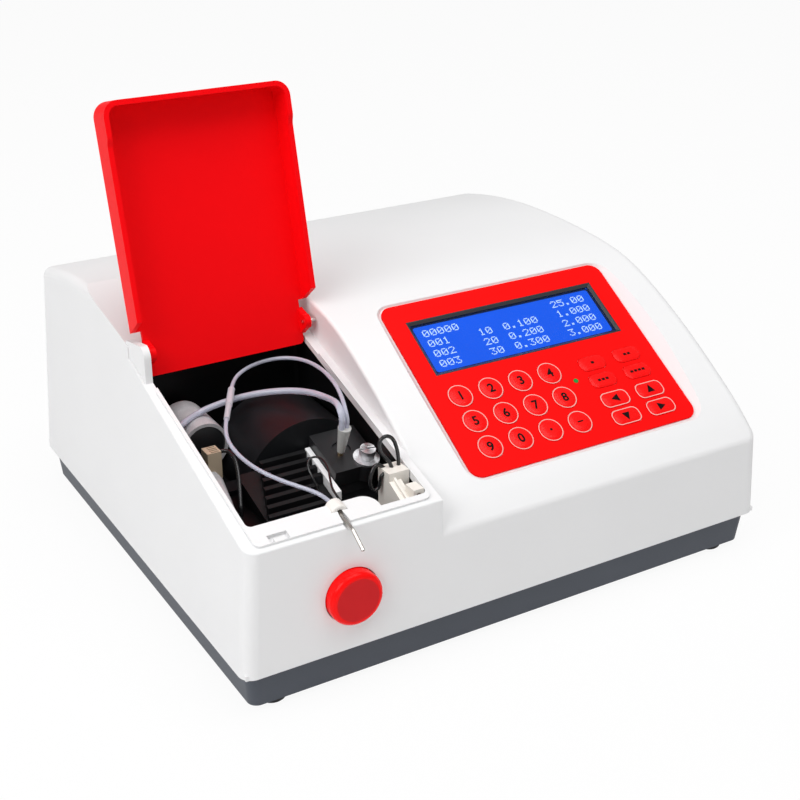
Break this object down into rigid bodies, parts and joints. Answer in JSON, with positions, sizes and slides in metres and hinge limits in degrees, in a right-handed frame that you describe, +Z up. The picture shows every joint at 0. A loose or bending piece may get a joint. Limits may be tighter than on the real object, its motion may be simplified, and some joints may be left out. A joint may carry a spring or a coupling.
{
  "type": "benchtop chemistry analyzer",
  "caption": "Benchtop analyzer with a hinged lid over a tube-fed measuring bay, a sipper needle with its start button, and a sloped keypad console with a display.",
  "frame": {"origin": "on the bench under the middle of the case", "axes": "+Z up, +X to the operator's right, -Y toward the operator"},
  "size_m": [0.362, 0.3576, 0.299],
  "materials": {
    "base_grey": "fine satin moulding",
    "bay_black": "matt black",
    "board_green": "lacquered board",
    "bracket_cream": "moulded",
    "case_white": "fine satin moulding",
    "connector_beige": "moulded",
    "display_black": "moulded",
    "foot_rubber": "matt",
    "inlet_black": "moulded",
    "key_red": "satin film",
    "lamp_sleeve": "grey sleeve",
    "led_green": "tinted lens",
    "lid_red": "glossy moulding",
    "module_blue": "backlit",
    "outlet_white": "moulded",
    "panel_red": "satin film",
    "pump_grey": "dark grey",
    "sink_black": "black anodised",
    "spring_steel": "drawn wire",
    "steel": "bright turned",
    "strip_white": "white",
    "tube_clear": "milky translucent",
    "window_clear": "polished",
    "wire_grey": "dark sleeve"
  },
  "bodies": {
    "case": {"base_tray": "base_grey", "bay_liner": "bay_black", "button_spring": "spring_steel", "case_screws": "steel", "cell_sleeve": "tube_clear", "clamp_screw": "steel", "connector_cable": "wire_grey", "display_frame": "display_black", "display_module": "module_blue", "display_window": "window_clear", "filter_drum": "bay_black", "flow_cell": "steel", "flow_cell_block": "bay_black", "heat_sink": "sink_black", "hinge_pins": "steel", "interlock_bracket": "bracket_cream", "interlock_wires": "wire_grey", "keypad_panel": "panel_red", "lamp_tube": "lamp_sleeve", "main_board": "board_green", "needle_guide": "case_white", "power_inlet": "inlet_black", "probe_strip": "strip_white", "probe_wire": "wire_grey", "pump_body": "pump_grey", "rubber_feet": "foot_rubber", "sample_tube_front": "tube_clear", "sample_tube_rear": "tube_clear", "sipper_needle": "steel", "status_led": "led_green", "top_cover": "case_white", "tube_union": "tube_clear", "waste_outlet": "outlet_white", "waste_tube": "tube_clear", "wheel_motor": "bay_black", "wire_connector": "connector_beige"},
    "lid": {"lid": "lid_red"},
    "sample_button": {"sample_button": "lid_red"},
    "filter_wheel": {"filter_wheel": "bay_black"},
    "pump_rotor": {"pump_rotor": "pump_grey"},
    "key_0": {"key_0": "key_red"},
    "key_1": {"key_1": "key_red"},
    "key_2": {"key_2": "key_red"},
    "key_3": {"key_3": "key_red"},
    "key_4": {"key_4": "key_red"},
    "key_5": {"key_5": "key_red"},
    "key_6": {"key_6": "key_red"},
    "key_7": {"key_7": "key_red"},
    "key_8": {"key_8": "key_red"},
    "key_9": {"key_9": "key_red"},
    "key_down": {"key_down": "key_red"},
    "key_function_1": {"key_function_1": "key_red"},
    "key_function_2": {"key_function_2": "key_red"},
    "key_function_3": {"key_function_3": "key_red"},
    "key_function_4": {"key_function_4": "key_red"},
    "key_left": {"key_left": "key_red"},
    "key_minus": {"key_minus": "key_red"},
    "key_point": {"key_point": "key_red"},
    "key_right": {"key_right": "key_red"},
    "key_up": {"key_up": "key_red"}
  },
  "joints": [
    {"name": "lid_hinge", "type": "hinge", "parent": "case", "child": "lid", "pos_m": [-0.116, -0.0175, 0.1575], "axis": [1, 0, 0], "range_deg": [0, 118.5]},
    {"name": "sample_button_press", "type": "slide", "parent": "case", "child": "sample_button", "axis": [0, 1, 0], "range_m": [0, 0.004], "stiffness_N_per_m": 1200, "springref_m": -0.0005, "deforming": ["button_spring"]},
    {"name": "filter_wheel_spin", "type": "hinge", "parent": "case", "child": "filter_wheel", "pos_m": [-0.095, -0.0635, 0.082], "axis": [0, 1, 0], "continuous": true},
    {"name": "pump_rotor_spin", "type": "hinge", "parent": "case", "child": "pump_rotor", "pos_m": [-0.1456, -0.037, 0.105], "axis": [0, 1, 0], "continuous": true},
    {"name": "key_0_press", "type": "slide", "parent": "case", "child": "key_0", "axis": [0, 0.515, -0.8572], "range_m": [0, 0.0005], "stiffness_N_per_m": 2500},
    {"name": "key_1_press", "type": "slide", "parent": "case", "child": "key_1", "axis": [0, 0.515, -0.8572], "range_m": [0, 0.0005], "stiffness_N_per_m": 2500},
    {"name": "key_2_press", "type": "slide", "parent": "case", "child": "key_2", "axis": [0, 0.515, -0.8572], "range_m": [0, 0.0005], "stiffness_N_per_m": 2500},
    {"name": "key_3_press", "type": "slide", "parent": "case", "child": "key_3", "axis": [0, 0.515, -0.8572], "range_m": [0, 0.0005], "stiffness_N_per_m": 2500},
    {"name": "key_4_press", "type": "slide", "parent": "case", "child": "key_4", "axis": [0, 0.515, -0.8572], "range_m": [0, 0.0005], "stiffness_N_per_m": 2500},
    {"name": "key_5_press", "type": "slide", "parent": "case", "child": "key_5", "axis": [0, 0.515, -0.8572], "range_m": [0, 0.0005], "stiffness_N_per_m": 2500},
    {"name": "key_6_press", "type": "slide", "parent": "case", "child": "key_6", "axis": [0, 0.515, -0.8572], "range_m": [0, 0.0005], "stiffness_N_per_m": 2500},
    {"name": "key_7_press", "type": "slide", "parent": "case", "child": "key_7", "axis": [0, 0.515, -0.8572], "range_m": [0, 0.0005], "stiffness_N_per_m": 2500},
    {"name": "key_8_press", "type": "slide", "parent": "case", "child": "key_8", "axis": [0, 0.515, -0.8572], "range_m": [0, 0.0005], "stiffness_N_per_m": 2500},
    {"name": "key_9_press", "type": "slide", "parent": "case", "child": "key_9", "axis": [0, 0.515, -0.8572], "range_m": [0, 0.0005], "stiffness_N_per_m": 2500},
    {"name": "key_down_press", "type": "slide", "parent": "case", "child": "key_down", "axis": [0, 0.515, -0.8572], "range_m": [0, 0.0005], "stiffness_N_per_m": 2500},
    {"name": "key_function_1_press", "type": "slide", "parent": "case", "child": "key_function_1", "axis": [0, 0.515, -0.8572], "range_m": [0, 0.0005], "stiffness_N_per_m": 2500},
    {"name": "key_function_2_press", "type": "slide", "parent": "case", "child": "key_function_2", "axis": [0, 0.515, -0.8572], "range_m": [0, 0.0005], "stiffness_N_per_m": 2500},
    {"name": "key_function_3_press", "type": "slide", "parent": "case", "child": "key_function_3", "axis": [0, 0.515, -0.8572], "range_m": [0, 0.0005], "stiffness_N_per_m": 2500},
    {"name": "key_function_4_press", "type": "slide", "parent": "case", "child": "key_function_4", "axis": [0, 0.515, -0.8572], "range_m": [0, 0.0005], "stiffness_N_per_m": 2500},
    {"name": "key_left_press", "type": "slide", "parent": "case", "child": "key_left", "axis": [0, 0.515, -0.8572], "range_m": [0, 0.0005], "stiffness_N_per_m": 2500},
    {"name": "key_minus_press", "type": "slide", "parent": "case", "child": "key_minus", "axis": [0, 0.515, -0.8572], "range_m": [0, 0.0005], "stiffness_N_per_m": 2500},
    {"name": "key_point_press", "type": "slide", "parent": "case", "child": "key_point", "axis": [0, 0.515, -0.8572], "range_m": [0, 0.0005], "stiffness_N_per_m": 2500},
    {"name": "key_right_press", "type": "slide", "parent": "case", "child": "key_right", "axis": [0, 0.515, -0.8572], "range_m": [0, 0.0005], "stiffness_N_per_m": 2500},
    {"name": "key_up_press", "type": "slide", "parent": "case", "child": "key_up", "axis": [0, 0.515, -0.8572], "range_m": [0, 0.0005], "stiffness_N_per_m": 2500}
  ]
}
